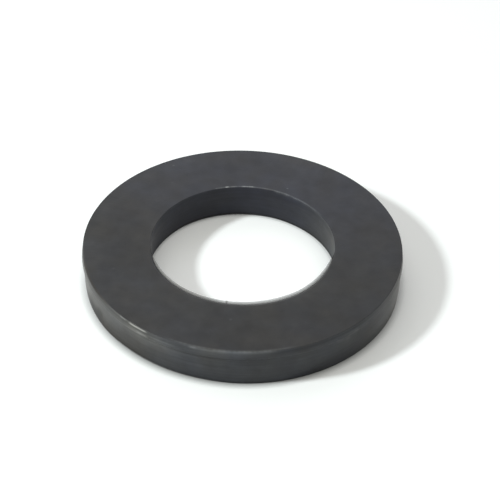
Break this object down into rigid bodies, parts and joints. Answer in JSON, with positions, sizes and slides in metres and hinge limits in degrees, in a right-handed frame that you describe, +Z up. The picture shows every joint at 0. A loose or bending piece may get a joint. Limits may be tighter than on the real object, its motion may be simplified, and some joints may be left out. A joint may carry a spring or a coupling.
{
  "type": "gasket washer",
  "caption": "Flat ring-shaped gasket washer in dark grey rubber, with a plain round bore that widens below a straight neck, a narrow drafted land round the top of its edge and lightly rounded corners.",
  "frame": {"origin": "centre of the underside, on the axis of the bore", "axes": "+Z up the axis of the bore, from the underside to the top face with the land at its edge; X and Y lie in the underside and are alike"},
  "size_m": [0.024, 0.024, 0.003],
  "materials": {
    "rubber": "matte"
  },
  "bodies": {
    "root": {"gasket_washer": "rubber"}
  },
  "joints": []
}
